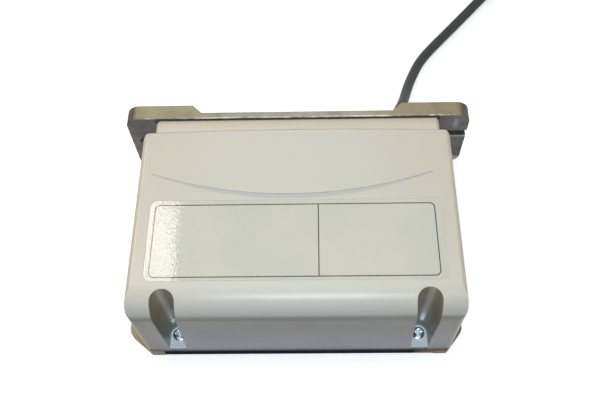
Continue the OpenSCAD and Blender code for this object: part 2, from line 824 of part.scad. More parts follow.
module treadle_lever() {
    color([0.66, 0.66, 0.67])
    at_lever() difference() {
        union() {
            rod_x([hub_out_x, 0, 0], hub_r, hub_l);
            along_x(arm_x, arm_x + lever_t) lever_outline();
        }
        rod_x([hub_out_x - cut, 0, 0], shaft_r + screw_gap, hub_l + 2 * cut);
        for (i = [0, 1])
            rod_x([hub_out_x - cut, 0, -lever_l + i * rod_hole_step], rod_hole_r, hub_l + 2 * cut);
        rod_z([hub_out_x + hub_l / 2, 0, 0], set_screw[0] + screw_gap, hub_r + cut);
    }
}

module lever_set_screw() {
    color([0.30, 0.30, 0.31])
    at_lever() difference() {
        rod_z([hub_out_x + hub_l / 2, 0, shaft_r + screw_gap], set_screw[0], set_screw[1]);
        translate([hub_out_x + hub_l / 2, 0, shaft_r + screw_gap + set_screw[1] - set_hex_depth])
            cylinder(r = set_screw[0] / 2, h = set_hex_depth + cut, $fn = 6);
    }
}

module retaining_ring() {
    mouth = clip_mouth * 2 * shaft_r;
    color([0.45, 0.46, 0.48])
    at_pivot() difference() {
        rod_x([clip_x + eps, 0, 0], clip_r, clip_t - 2 * eps);
        rod_x([clip_x - cut, 0, 0], shaft_r - clip_groove + screw_gap, clip_t + 2 * cut);
        translate([clip_x - cut, -mouth / 2, -clip_r - cut]) cube([clip_t + 2 * cut, mouth, clip_r + cut]);
    }
}

module magnet_carrier() {
    color([0.88, 0.88, 0.85])
    at_lever() difference() {
        rod_x([carrier_x, 0, 0], carrier_r, carrier_l);
        rod_x([carrier_x - cut, 0, 0], shaft_r + screw_gap, carrier_l + 2 * cut);
        rod_x([carrier_x + carrier_l - magnet_seat, 0, magnet_out], magnet[0] + screw_gap, carrier_l);
    }
}

module sensor_magnet() {
    color([0.55, 0.56, 0.58])
    at_lever() rod_x([carrier_x + carrier_l - magnet_seat, 0, magnet_out], magnet[0], magnet[1]);
}

// ---- electronics
post_hole_r = m3[0] + clear_gap;
module main_board() {
    color([0.11, 0.36, 0.20])
    at_near() difference() {
        translate([board_left, board_near, board_z]) cube([board_w, board_d, board_t]);
        for (p = board_post) rod_z([p.x, p.y, board_z - cut], post_hole_r, board_t + 2 * cut);
    }
}

module board_screws() {
    color([0.78, 0.79, 0.80])
    at_near() for (p = board_post) translate([p.x, p.y, board_top]) pan_screw(m3, board_t + bite(m3));
}

block = [30, 12, 13];                           // terminal block
block_in = [28, 7];                             // its middle from the board's right and far edges
block_x = board_right - block_in.x;
cap_count = 3;
cap_gap = 3;                                    // between capacitors
cap_block_gap = 4.5;                            // between them and the terminal block
cap_in = 3;                                     // from the board's far edge
cap_y = board_far - cap_in - cap_r;
cap_bead = [4, 1, 1.2];                         // height of its middle, half its height, its depth
cap_rim = [1, 3, 0.5];                          // roll, width and depth of the rim
module bus_capacitors() {
    cap_x = block_x - block.x / 2 - cap_block_gap - cap_r;
    color([0.10, 0.12, 0.28])
    at_near() for (i = [0:cap_count - 1])
        translate([cap_x - i * (2 * cap_r + cap_gap), cap_y, board_top]) rotate_extrude() polygon([
            [0, 0], [cap_r, 0], [cap_r, cap_bead[0] - cap_bead[1]], [cap_r - cap_bead[2], cap_bead[0]],
            [cap_r, cap_bead[0] + cap_bead[1]], [cap_r, cap_h - cap_rim[0]], [cap_r - cap_rim[0], cap_h],
            [cap_r - cap_rim[1], cap_h], [cap_r - cap_rim[1] - cap_rim[2], cap_h - cap_rim[2]],
            [0, cap_h - cap_rim[2]]]);
}

lead_row = 11;
module_seat = base_t + module_pad_h + module_t - m3[2];
module power_module() {
    z0 = base_t + module_pad_h;
    color([0.14, 0.14, 0.15])
    at_near() difference() {
        union() {
            translate([module_x - module_w / 2, module_y - module_d / 2, z0])
                cube([module_w, module_d, module_t]);
            for (i = [0:module_pins - 1], s = [-1, 1])
                translate([module_x + (i - (module_pins - 1) / 2) * module_pin_step - module_pin_w / 2,
                    module_y + s * lead_row - module_pin_w / 2, z0 + module_t - eps])
                    cube([module_pin_w, module_pin_w, board_z - z0 - module_t + eps]);
        }
        for (s = [-1, 1])
            rod_z([module_x + s * module_screw_x, module_y, z0 - cut], m3[0] + clear_gap, module_t + 2 * cut);
        for (s = [-1, 1])
            rod_z([module_x + s * module_screw_x, module_y, module_seat], m3[1] + clear_gap, m3[2] + cut);
    }
}

module module_screws() {
    color([0.78, 0.79, 0.80])
    at_near() for (s = [-1, 1])
        translate([module_x + s * module_screw_x, module_y, module_seat])
            pan_screw(m3, module_seat - hole_floor - tap_rest);
}

choke = [13, 5.5];                              // ring radius, section radius
choke_at = [board_right - choke_in.x, board_near + choke_in.y];
module line_choke() {
    color([0.62, 0.34, 0.16])
    at_near() translate([choke_at.x, choke_at.y, board_top + choke[1]])
        rotate_extrude() translate([choke[0], 0]) circle(choke[1]);
}

relay = [15, 29, 15.5];
relay_step = 22;
relay_at = [board_right - relay_in.x, board_near + relay_in.y];
module relays() {
    color([0.12, 0.30, 0.52])
    at_near() for (i = [0, 1])
        translate([relay_at.x + i * relay_step, relay_at.y, board_top]) cube(relay);
}

fuse_r = 2.6;
fuse_l = 20;
fuse_at = [board_right - fuse_in.x, board_near + fuse_in.y];
fuse_h = 6;
fuse_clip = [5, 8, 2];                          // width, depth, height above the fuse's axis
fuse_mouth = 0.8;                               // the clips' opening over the fuse's diameter
fuse_cap = 0.2;                                 // the metal caps stand proud of the glass
function fuse_end(s) = fuse_at.x + s * (fuse_l - fuse_clip.x) / 2 - fuse_clip.x / 2;
module fuse_holder() {
    color([0.80, 0.80, 0.78])
    at_near() difference() {
        for (s = [-1, 1])
            translate([fuse_end(s), fuse_at.y - fuse_clip.y / 2, board_top])
                cube([fuse_clip.x, fuse_clip.y, fuse_h + fuse_clip.z]);
        rod_x([fuse_at.x - fuse_l, fuse_at.y, board_top + fuse_h], fuse_r + screw_gap, 2 * fuse_l);
        translate([fuse_at.x - fuse_l, fuse_at.y - fuse_r * fuse_mouth, board_top + fuse_h])
            cube([2 * fuse_l, 2 * fuse_r * fuse_mouth, fuse_h]);
    }
}

module fuse() {
    color([0.85, 0.86, 0.84])
    at_near() {
        rod_x([fuse_at.x - fuse_l / 2, fuse_at.y, board_top + fuse_h], fuse_r - fuse_cap, fuse_l);
        for (s = [-1, 1])
            rod_x([fuse_end(s), fuse_at.y, board_top + fuse_h], fuse_r, fuse_clip.x);
    }
}

ways = 3;
way_screw = [2.2, 4];                           // radius and depth of a way's screw hole
way_mouth = 5;                                  // side of its wire opening
way_floor = 2;
module terminal_block() {
    way_w = block.x / ways;
    color([0.15, 0.45, 0.30])
    at_near() translate([block_x - block.x / 2, board_far - block_in.y - block.y / 2, board_top]) difference() {
        cube(block);
        for (i = [0:ways - 1]) {
            rod_z([(i + 0.5) * way_w, block.y / 2, block.z - way_screw[1]], way_screw[0], way_screw[1] + cut);
            translate([(i + 0.5) * way_w - way_mouth / 2, block.y - way_mouth, way_floor])
                cube([way_mouth, way_mouth + cut, way_mouth]);
        }
    }
}

module socket_shell(y, w, h)
    at_near() difference() {
        translate([side_x - socket_l, y - w / 2, board_top]) cube([socket_l, w, h]);
        translate([side_x - socket_mouth_l, y - w / 2 + socket_wall, board_top + socket_wall])
            cube([socket_mouth_l + cut, w - 2 * socket_wall, h - 2 * socket_wall]);
    }

module socket_pins(y, w, h, columns, rows)
    at_near() for (i = [0:columns - 1], j = [0:rows - 1])
        translate([side_x - socket_mouth_l,
            y + (i - (columns - 1) / 2) * (w - pin_margin) / columns - pin_w / 2,
            board_top + h / 2 + (j - (rows - 1) / 2) * pin_row - pin_w / 2])
            cube([pin_l, pin_w, pin_w]);

module motor_socket() { color([0.90, 0.89, 0.84]) socket_shell(motor_y, motor_w, motor_hgt); }
module motor_pins() { color([0.75, 0.68, 0.42]) socket_pins(motor_y, motor_w, motor_hgt, 4, 1); }
module head_socket() { color([0.90, 0.89, 0.84]) socket_shell(head_y, head_w, head_hgt); }
module head_pins() { color([0.75, 0.68, 0.42]) socket_pins(head_y, head_w, head_hgt, 7, 2); }

module earth_screw() {
    color([0.76, 0.66, 0.34])
    at_near() translate([earth_x, earth_y, base_t + lip_h / 2])
        pan_screw(m4, base_t + lip_h / 2 - hole_floor - tap_rest);
}

// ---- mains lead: where it runs along the surface, chosen by hand; X and Y from its hole in the plate
lead_r = lead_dia / 2;
lead_plan = [
    [12, 24, 15], [16, 32, 15], [19.9, 40.5, 12.7], [22.9, 48.5, 9.3], [25.3, 56.1, 6.4],
    [27.6, 64, 4.8], [30.6, 72.5, 4.4], [34.6, 82, 4.4], [40, 93.1, 4.4], [47.6, 104.4, 4.4],
    [58.1, 117, 4.4], [71, 131.7, 4.4], [86.8, 149.9, 4.4], [103.6, 169.3, 4.6], [119, 187, 5.1],
    [126.4, 195.5, 5.4], [134, 204.2, 5.4]];
lead_route = [for (p = lead_plan) p + [lead_x, near_y + plate_back, 0]];
lead_sides = 10;
lead_last = len(lead_route) - 1;
function lead_dir(i) = unit(lead_route[min(i + 1, lead_last)] - lead_route[max(i - 1, 0)]);
boot_root = [lead_x, near_y + plate_back, lead_z];
boot_line = lead_route[0] - boot_root;

module boot_aim() translate(boot_root)
    rotate([0, acos(boot_line.z / norm(boot_line)), atan2(boot_line.y, boot_line.x)]) children();

boot_flange = [8, 2.4];                         // radius, thickness, outside the plate
boot_inner = [7.4, 2];                          // the same inside the plate
boot_r = 6.9;
boot_tip = 0.9;                                 // wall of the boot's end round the lead
boot_grooves = 4;
boot_groove_w = 1.4;
boot_groove_from = 0.4;                         // first groove, over the boot's length
boot_groove_step = 0.14;                        // the next ones, over the boot's length
boot_core = 0.5;                                // wall left under the grooves
module lead_boot() {
    l = norm(boot_line);
    color([0.13, 0.13, 0.14]) {
        rod_y([lead_x, near_y + plate_front - boot_inner[1], lead_z], boot_inner[0], boot_inner[1]);
        rod_y([lead_x, near_y + plate_front - eps, lead_z], boot_neck_r, plate_t + 2 * eps);
        rod_y([lead_x, near_y + plate_back, lead_z], boot_flange[0], boot_flange[1]);
        intersection() {
            boot_aim() difference() {
                union() {
                    sphere(boot_r);
                    cylinder(r1 = boot_r, r2 = lead_r + boot_tip, h = l);
                }
                for (i = [0:boot_grooves - 1])
                    translate([0, 0, l * (boot_groove_from + i * boot_groove_step)]) difference() {
                        cylinder(r = boot_r + cut, h = boot_groove_w);
                        translate([0, 0, -cut]) cylinder(r = lead_r + boot_core, h = boot_groove_w + 2 * cut);
                    }
            }
            translate([0, near_y + plate_back, 0]) cube([plate_w, l + boot_r, plate_h]);
        }
    }
}

module mains_lead() {
    color([0.29, 0.29, 0.30])
    ring_tube([for (i = [0:lead_last]) ring_at(lead_route[i], lead_dir(i), [0, 0, 1], lead_r, lead_sides)]);
}

// ---- the rest of the lead, wound in two layers of loops: in below, out above
tie_t = 0.9;
tie_gap = 0.2;                                  // under and over the turns
tie_side_gap = 0.7;                             // beside the turns, which curve inside the tie
tie_corner_r = 2;
tie_inner_r = 1.2;
coil_z = lead_r + tie_gap + tie_t;
coil_dir = lead_dir(lead_last);
coil_heading = atan2(coil_dir.y, coil_dir.x);
coil_steps = 24;
coil_sides = 6;
whole_turns = 5;
coil_turns = whole_turns + (180 - coil_heading) / 360;
coil_start = lead_route[lead_last] + lead_dia * coil_dir;
coil_mid = coil_start + coil_r * [-sin(coil_heading), cos(coil_heading), 0];
climb = 0.5;                                    // of a turn, where the spiral reverses
gap_from = 0.6;                                 // of a turn, from where its distance to itself counts
tail_l = 40;

function coil_rad(t) = coil_r - turn_pitch * min(t, coil_turns - t);
function ease(u) = let (v = max(0, min(1, u))) v * v * (3 - 2 * v);
function coil_rise(t) = turn_pitch * ease((t - coil_turns / 2) / climb + 0.5);
function coil_at(t) = let (a = coil_heading - 90 + 360 * t)
    [coil_mid.x + coil_rad(t) * cos(a), coil_mid.y + coil_rad(t) * sin(a), coil_z + coil_rise(t)];
coil_n = round(coil_turns * coil_steps);
coil_line = concat([lead_route[lead_last]], [for (i = [0:coil_n]) coil_at(i * coil_turns / coil_n)],
    [coil_at(coil_turns) - [tail_l, 0, 0]]);
coil_last = len(coil_line) - 1;
function coil_way(i) = i == coil_last ? [-1, 0, 0] : i == 0 ? coil_dir
    : unit(coil_line[i + 1] - coil_line[i - 1]);

module lead_coil() {
    skip = round(coil_steps * gap_from);
    gap = min([for (i = [0:coil_last - skip], j = [i + skip:coil_last]) norm(coil_line[i] - coil_line[j])]);
    echo(coil_self_gap = gap - lead_dia);
    length = lead_length(coil_line, 0) + lead_length(lead_route, 0);
    echo(lead_length = length);
    color([0.29, 0.29, 0.30])
    ring_tube([for (i = [0:coil_last]) ring_at(coil_line[i], coil_way(i), [0, 0, 1], lead_r, coil_sides)]);
}
function lead_length(line, i) = i + 1 >= len(line) ? 0
    : norm(line[i + 1] - line[i]) + lead_length(line, i + 1);

tie_angle = 45;
module tie_section(low, high, r) round_rect(low, high, [r, r, r, r]);
module coil_tie() {
    first = (tie_angle - coil_heading + 90) / 360;
    radii = [for (k = [0:floor(coil_turns - first)]) coil_rad(first + k)];
    lo = min(radii) - lead_r - tie_side_gap;
    hi = max(radii) + lead_r + tie_side_gap;
    top = coil_z + turn_pitch + lead_r + tie_gap;
    color([0.10, 0.10, 0.11])
    translate([coil_mid.x, coil_mid.y, 0]) rotate(tie_angle) along_y(-tie_w / 2, tie_w / 2) difference() {
        tie_section([lo - tie_t, 0], [hi + tie_t, top + tie_t], tie_corner_r);
        tie_section([lo, tie_t], [hi, top], tie_inner_r);
    }
}

// ---- plug: turned body with a tapered tail, lying on the surface
plug_at = coil_line[coil_last];
plug_r = coil_z + turn_pitch;
plug_tail_l = 26;
plug_tail_wall = 2.6;                           // round the lead where the tail meets the body
plug_neck_in = 4.5;                             // the body's neck inside its full radius
plug_grip_in = 3;                               // the grip inside it
plug_rim_in = 0.8;                              // the rim's edge inside it
plug_at_z = [3, 10, 14, 17];                    // where the grip starts and ends and the rim starts and is full
plug_end_r = 1.5;
module at_plug() translate(plug_at) rotate([0, -90, 0]) children();

module plug_body() {
    l = plug_tail_l + plug_l;
    color([0.12, 0.12, 0.13])
    at_plug() rotate_extrude() polygon([[0, 0], [lead_r + boot_tip, 0],
        [lead_r + plug_tail_wall, plug_tail_l - plug_at_z[0]], [plug_r - plug_neck_in, plug_tail_l],
        [plug_r - plug_grip_in, plug_tail_l + plug_at_z[0]],
        [plug_r - plug_grip_in, plug_tail_l + plug_at_z[1]],
        [plug_r - plug_rim_in, plug_tail_l + plug_at_z[2]],
        [plug_r, plug_tail_l + plug_at_z[3]],
        [plug_r, l - plug_end_r], [plug_r - plug_end_r, l], [0, l]]);
}

blade = [1.5, 6.3, 17];
blade_gap = 12.7;
earth_pin = [2.4, 19, 11.9];                    // radius, length, distance below the blades
module plug_blades() {
    color([0.80, 0.72, 0.48])
    at_plug() translate([0, 0, plug_tail_l + plug_l]) {
        for (s = [-1, 1])
            translate([-blade.y / 2, s * blade_gap / 2 - blade.x / 2, 0]) cube([blade.y, blade.x, blade.z]);
        translate([-earth_pin[2], 0, 0]) cylinder(r = earth_pin[0], h = earth_pin[1]);
    }
}

top_cover();
rear_cover();
label_panel();
base_casting();
mounting_plate();
cover_screws();
cover_washers();
plate_screws();
rear_screws();
sensor_case();
sensor_lid();
sensor_screws();
shaft_bush();
return_spring();
hall_board();
lever_shaft();
treadle_lever();
lever_set_screw();
retaining_ring();
magnet_carrier();
sensor_magnet();
main_board();
board_screws();
bus_capacitors();
power_module();
module_screws();
line_choke();
relays();
fuse_holder();
fuse();
terminal_block();
motor_socket();
motor_pins();
head_socket();
head_pins();
earth_screw();
lead_boot();
mains_lead();
lead_coil();
coil_tie();
plug_body();
plug_blades();
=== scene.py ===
# The looks of the sewing machine control box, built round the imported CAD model. In metres.
import json
import math

import bmesh
import bpy
from mathutils import Matrix, Vector


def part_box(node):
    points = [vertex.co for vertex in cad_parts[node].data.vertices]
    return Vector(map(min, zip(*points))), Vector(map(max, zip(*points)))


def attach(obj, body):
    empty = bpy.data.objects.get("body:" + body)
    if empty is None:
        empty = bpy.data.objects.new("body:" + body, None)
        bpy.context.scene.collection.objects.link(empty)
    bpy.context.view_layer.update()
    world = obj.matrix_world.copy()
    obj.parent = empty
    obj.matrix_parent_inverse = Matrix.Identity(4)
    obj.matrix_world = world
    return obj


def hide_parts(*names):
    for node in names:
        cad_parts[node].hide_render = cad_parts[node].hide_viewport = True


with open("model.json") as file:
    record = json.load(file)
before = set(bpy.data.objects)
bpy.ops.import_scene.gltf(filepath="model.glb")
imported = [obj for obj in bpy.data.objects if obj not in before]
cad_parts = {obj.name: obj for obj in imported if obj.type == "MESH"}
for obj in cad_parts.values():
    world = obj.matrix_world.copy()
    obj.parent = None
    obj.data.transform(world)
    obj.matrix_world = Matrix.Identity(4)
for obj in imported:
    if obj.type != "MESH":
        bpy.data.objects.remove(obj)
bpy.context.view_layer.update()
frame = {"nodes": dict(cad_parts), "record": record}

MM = 0.001

# ---- where the main faces lie, from the frame
COVER_LOW, COVER_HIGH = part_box("top_cover")
NEAR_Y = COVER_LOW.y


def at_near(x, y, z):
    """A point in millimetres: X from the middle, Y from the near face, Z from the floor."""
    return Vector((x * MM, NEAR_Y + y * MM, z * MM))


# ---- camera: its place as at_near takes it, angles in degrees
FRAME_PX = 600
FOCAL_PX = 739.7
CAMERA_AT = (14.3, -163.6, 525.6)
CAMERA_YAW = -2.67
CAMERA_PITCH = 61.02
CAMERA_ROLL = 2.97
SENSOR = 36
CLIP = (0.01, 20)                       # metres


def link(thing):
    bpy.context.collection.objects.link(thing)
    return thing


def make_camera():
    data = bpy.data.cameras.new("photo_view")
    data.sensor_width = SENSOR
    data.lens = SENSOR * FOCAL_PX / FRAME_PX
    data.clip_start, data.clip_end = CLIP
    camera = link(bpy.data.objects.new("photo_view", data))
    turn = Matrix.Rotation(-math.radians(CAMERA_YAW), 4, "Z")
    tilt = Matrix.Rotation(math.radians(90 - CAMERA_PITCH), 4, "X")
    roll = Matrix.Rotation(-math.radians(CAMERA_ROLL), 4, "Z")
    camera.matrix_world = Matrix.Translation(at_near(*CAMERA_AT)) @ turn @ tilt @ roll
    bpy.context.scene.camera = camera


# ---- mains lead: its route in millimetres, X and Y from its hole in the plate, as in the CAD
LEAD_DIA = 8.6 * MM
LEAD_OUT = (66, 168, 0)                 # that hole, as at_near takes it
LEAD_PLAN = [
    (12, 24, 15), (16, 32, 15), (19.9, 40.5, 12.7), (22.9, 48.5, 9.3), (25.3, 56.1, 6.4),
    (27.6, 64, 4.8), (30.6, 72.5, 4.4), (34.6, 82, 4.4), (40, 93.1, 4.4), (47.6, 104.4, 4.4),
    (58.1, 117, 4.4), (71, 131.7, 4.4), (86.8, 149.9, 4.4), (103.6, 169.3, 4.6), (119, 187, 5.1),
    (126.4, 195.5, 5.4), (134, 204.2, 5.4)]
TURN_PITCH = 9.1 * MM                   # between neighbouring turns, and between the two layers
COIL_R = 60 * MM                        # of its outer turn
WHOLE_TURNS = 5
COIL_STEPS = 48                         # in a turn
CLIMB = 0.5                             # the turns over which it rises to the upper layer
TAIL_L = 40 * MM                        # straight, into the plug
LEAD_SIDES = 20
CURVE_STEPS = 4                         # between two points of the route


def ease(u):
    """From 0 to 1 with soft ends."""
    v = max(0.0, min(1.0, u))
    return v * v * (3 - 2 * v)


def coil_points(last, before):
    """The coil from the route's end to the plug: inward on the surface, then outward on top."""
    way = (last - before).normalized()
    heading = math.atan2(way.y, way.x)
    turns = WHOLE_TURNS + (math.pi - heading) / (2 * math.pi)
    start = last + LEAD_DIA * way
    middle = start + COIL_R * Vector((-math.sin(heading), math.cos(heading), 0))
    points = []
    count = round(turns * COIL_STEPS)
    for i in range(count + 1):
        t = i * turns / count
        angle = heading - math.pi / 2 + 2 * math.pi * t
        radius = COIL_R - TURN_PITCH * min(t, turns - t)
        rise = TURN_PITCH * ease((t - turns / 2) / CLIMB + 0.5)
        points.append(Vector((middle.x + radius * math.cos(angle),
                              middle.y + radius * math.sin(angle), last.z + rise)))
    return points + [points[-1] - Vector((TAIL_L, 0, 0))]


def smooth_path(points, steps):
    """A Catmull-Rom curve through the points."""
    out = []
    for i in range(len(points) - 1):
        p0, p1, p2 = points[max(i - 1, 0)], points[i], points[i + 1]
        p3 = points[min(i + 2, len(points) - 1)]
        for j in range(steps):
            t = j / steps
            out.append(0.5 * (2 * p1 + (p2 - p0) * t + (2 * p0 - 5 * p1 + 4 * p2 - p3) * t * t
                              + (3 * p1 - p0 - 3 * p2 + p3) * t ** 3))
    return out + [points[-1]]


def mesh_object(name, mesh):
    data = bpy.data.meshes.new(name)
    mesh.to_mesh(data)
    mesh.free()
    return link(bpy.data.objects.new(name, data))


def ring_points(path, i, radius, sides):
    """The points of a ring round the path, square to it."""
    way = (path[min(i + 1, len(path) - 1)] - path[max(i - 1, 0)]).normalized()
    side = Vector((0, 0, 1)).cross(way).normalized()
    up = way.cross(side)
    angles = [2 * math.pi * j / sides for j in range(sides)]
    return [path[i] + radius * (math.cos(a) * side + math.sin(a) * up) for a in angles]


def tube(name, path, radius, sides):
    """A closed tube along a path, with U round it and V along it in metres."""
    mesh = bmesh.new()
    layer = mesh.loops.layers.uv.new("along")
    rings, lengths = [], [0.0]
    for i, point in enumerate(path):
        rings.append([mesh.verts.new(p) for p in ring_points(path, i, radius, sides)])
        if i:
            lengths.append(lengths[-1] + (point - path[i - 1]).length)
    for i in range(len(rings) - 1):
        for j in range(sides):
            k = (j + 1) % sides
            face = mesh.faces.new((rings[i][j], rings[i][k], rings[i + 1][k], rings[i + 1][j]))
            face.smooth = True
            for loop, (u, v) in zip(face.loops, ((j, i), (j + 1, i), (j + 1, i + 1), (j, i + 1))):
                loop[layer].uv = (u / sides, lengths[v])
    mesh.faces.new(rings[0][::-1])
    mesh.faces.new(rings[-1])
    return mesh_object(name, mesh)


def make_lead():
    """One skin for the lead's two solids, the seen length and the coil."""
    route = [at_near(*[a + b for a, b in zip(LEAD_OUT, p)]) for p in LEAD_PLAN]
    path = smooth_path(route, CURVE_STEPS) + coil_points(route[-1], route[-2])
    lead = tube("mains_lead_skin", path, LEAD_DIA / 2, LEAD_SIDES)
    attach(lead, "control_box")
    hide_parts("mains_lead", "lead_coil")
    return lead


make_camera()
lead_skin = make_lead()


# ---- a short way to write node trees
class Nodes:
    """The node tree of a material or world; a call adds its nodes and returns their output."""

    def __init__(self, owner):
        owner.use_nodes = True
        self.tree = owner.node_tree
        self.tree.nodes.clear()

    def feed(self, socket, value):
        """Link an output to a socket, or set a constant on it; a colour gets an alpha of 1."""
        if isinstance(value, bpy.types.NodeSocket):
            self.tree.links.new(value, socket)
        elif socket.type == "RGBA" and len(value) == 3:
            socket.default_value = (*value, 1)
        else:
            socket.default_value = value

    def add(self, kind, inputs=(), out=0, **settings):
        node = self.tree.nodes.new("ShaderNode" + kind)
        for name, value in settings.items():
            setattr(node, name, value)
        for name, value in dict(inputs).items():
            self.feed(node.inputs[name], value)
        return node.outputs[out]

    def math(self, operation, a, b=0.0):
        return self.add("Math", {0: a, 1: b}, operation=operation)

    def times(self, first, *others):
        for other in others:
            first = self.math("MULTIPLY", first, other)
        return first

    def size(self, value):
        """The value without its sign."""
        return self.math("ABSOLUTE", value)

    def place(self, kind="Object"):
        return self.add("TexCoord", out=kind)

    def stretch(self, where, scale):
        return self.add("Mapping", {"Vector": where, "Scale": scale})

    def noise(self, where, scale, detail=4.0, rough=0.55):
        return self.add("TexNoise", {"Vector": where, "Scale": scale, "Detail": detail,
                                     "Roughness": rough})

    def cells(self, where, scale):
        return self.add("TexVoronoi", {"Vector": where, "Scale": scale})

    def parts(self, where):
        return [self.add("SeparateXYZ", {"Vector": where}, out=axis) for axis in ("X", "Y", "Z")]

    def length(self, vector):
        return self.add("VectorMath", {0: vector}, out="Value", operation="LENGTH")

    def ramp(self, value, low, high, to_low, to_high, how="LINEAR"):
        """From to_low at low to to_high at high, and level past both."""
        return self.add("MapRange", {"Value": value, "From Min": low, "From Max": high,
                                     "To Min": to_low, "To Max": to_high}, interpolation_type=how)

    def spread(self, value, low, high, to_low=0.0, to_high=1.0):
        """A ramp with soft ends."""
        return self.ramp(value, low, high, to_low, to_high, "SMOOTHSTEP")

    def within(self, value, low, high, soft=0.0001):
        """1 between the two limits and 0 outside them, changing over twice soft."""
        return self.times(self.spread(value, low - soft, low + soft),
                          self.spread(value, high + soft, high - soft))

    def mix(self, share, a, b, how="MIX"):
        node = self.tree.nodes.new("ShaderNodeMix")
        node.data_type, node.blend_type = "RGBA", how
        for name, value in (("Factor_Float", share), ("A_Color", a), ("B_Color", b)):
            self.feed(next(s for s in node.inputs if s.identifier == name), value)
        return next(s for s in node.outputs if s.identifier == "Result_Color")

    def tint(self, base, colour):
        return self.mix(1.0, base, colour, "MULTIPLY")

    def bump(self, height, strength, distance, normal=None):
        inputs = {"Height": height, "Strength": strength, "Distance": distance}
        if normal is not None:
            inputs["Normal"] = normal
        return self.add("Bump", inputs)

    def surface(self, shader):
        output = self.tree.nodes.new("ShaderNodeOutputMaterial")
        self.tree.links.new(shader, output.inputs["Surface"])


def srgb(red, green, blue):
    """A colour written in 0 to 255, as linear light."""
    def linear(value):
        v = value / 255
        return v / 12.92 if v <= 0.04045 else ((v + 0.055) / 1.055) ** 2.4
    return tuple(linear(value) for value in (red, green, blue))


def material(name):
    made = bpy.data.materials.new(name)
    return made, Nodes(made)


# ---- marks: wear, and painted light and shade, that belong to one place on a piece
# Names with _X, _Y or _Z hold millimetres, as at_near takes them, and names with FACING a part of
# the surface's direction. A mark grows from none at a pair's first value to full at its second,
# except where a comment says that it lies inside the pair.
class Point:
    """Where a point of the surface lies, and which way it faces: aside, to the far side, up."""

    def __init__(self, n):
        scaled = n.add("VectorMath", {0: n.place(), "Scale": 1 / MM}, operation="SCALE")
        self.x, from_middle, self.z = n.parts(scaled)
        self.y = n.math("SUBTRACT", from_middle, NEAR_Y / MM)
        self.side, self.far, self.up = n.parts(n.place("Normal"))


def marked(n, base, marks):
    """The colour with each of the marks laid over it in turn."""
    at = Point(n)
    for mark in marks:
        base = mark(n, base, at)
    return base


# ---- marks on the cover
COVER_TOP = COVER_HIGH.z / MM
# painted light: the near side cooler and whiter, the round brighter, the faces that look aside
# warmer
NEAR_COOL_LIGHT, NEAR_COOL_LIGHT_Y = srgb(208, 208, 201), (60, 10)
ROUND_LIGHT, ROUND_LIGHT_Y = srgb(216, 216, 212), (14, 4)
SIDE_WARM_LIGHT, SIDE_FACING = srgb(204, 192, 174), (0.03, 0.5)
END_TINT, END_TINT_X = (0.97, 0.935, 0.89), (30, 112)   # shares of the colour, towards both ends


def painted_light_and_tints(n, base, at):
    """Painted light makes it whiter towards the near side and on the round and yellower on the
    sides; it is darker and yellower towards both ends.
    """
    base = n.mix(n.spread(at.y, *NEAR_COOL_LIGHT_Y), base, NEAR_COOL_LIGHT)
    base = n.mix(n.spread(at.y, *ROUND_LIGHT_Y), base, ROUND_LIGHT)
    base = n.mix(n.spread(n.size(at.side), *SIDE_FACING), base, SIDE_WARM_LIGHT)
    return n.mix(n.spread(n.size(at.x), *END_TINT_X), base, n.tint(base, END_TINT))


# painted shade on the near face, with painted bounce light low on it and painted warm light on its
# left corner
NEAR_FACING = (-0.9, -0.995)
SHADE_UNDER_ROUND, BOUNCE_AT_FLANGE, NEAR_FACE_Z = srgb(152, 147, 142), srgb(190, 187, 197), (60, 12)
END_WARM_LIGHT, END_SHARE = srgb(128, 116, 92), 0.8
END_FACING, END_Z, END_X = (-0.3, -0.7), (72, 64), (-92, -104)


def near_light_and_shade(n, base, at):
    """Painted shade greys the near face under the round, painted bounce light makes it bluer at
    the flange, and painted warm light browns its left corner.
    """
    grey = n.mix(n.spread(at.z, *NEAR_FACE_Z), SHADE_UNDER_ROUND, BOUNCE_AT_FLANGE)
    base = n.mix(n.spread(at.far, *NEAR_FACING), base, grey)
    corner = n.times(n.spread(at.far, *END_FACING), n.spread(at.z, *END_Z),
                     n.spread(at.x, *END_X, 0, END_SHARE))
    return n.mix(corner, base, END_WARM_LIGHT)


GROOVE_DEPTH = 0.4
GROOVE_Z = (COVER_TOP - GROOVE_DEPTH - 0.1, COVER_TOP - 0.02)   # it lies inside these three
GROOVE_X, GROOVE_Y = (-90, 97), (70, 125)
GROOVE_FADE = 14                        # it pales over twice this at each end
# painted shade on the groove's floor, painted light on its walls
GROOVE_WALL_LIGHT, GROOVE_SHADE, GROOVE_FACING = srgb(226, 226, 224), srgb(190, 190, 188), (0.5, 0.9)


def groove_light_and_shade(n, base, at):
    """Painted shade makes the crescent groove grey, and painted light makes its walls pale."""
    groove = n.times(n.within(at.z, *GROOVE_Z, 0.01), n.within(at.x, *GROOVE_X, GROOVE_FADE),
                     n.within(at.y, *GROOVE_Y))
    return n.mix(groove, base, n.mix(n.spread(at.up, *GROOVE_FACING), GROOVE_WALL_LIGHT, GROOVE_SHADE))


SCREW_X = 86
LEDGE_Z = 12
WELL_Z = (LEDGE_Z, COVER_TOP)
WELL_Y, WELL_R = (10, 8), (6.2, 8.2)    # its round end's middle and radius at these two heights
WELL_SKIN = 0.06                        # its wall counts as inside it
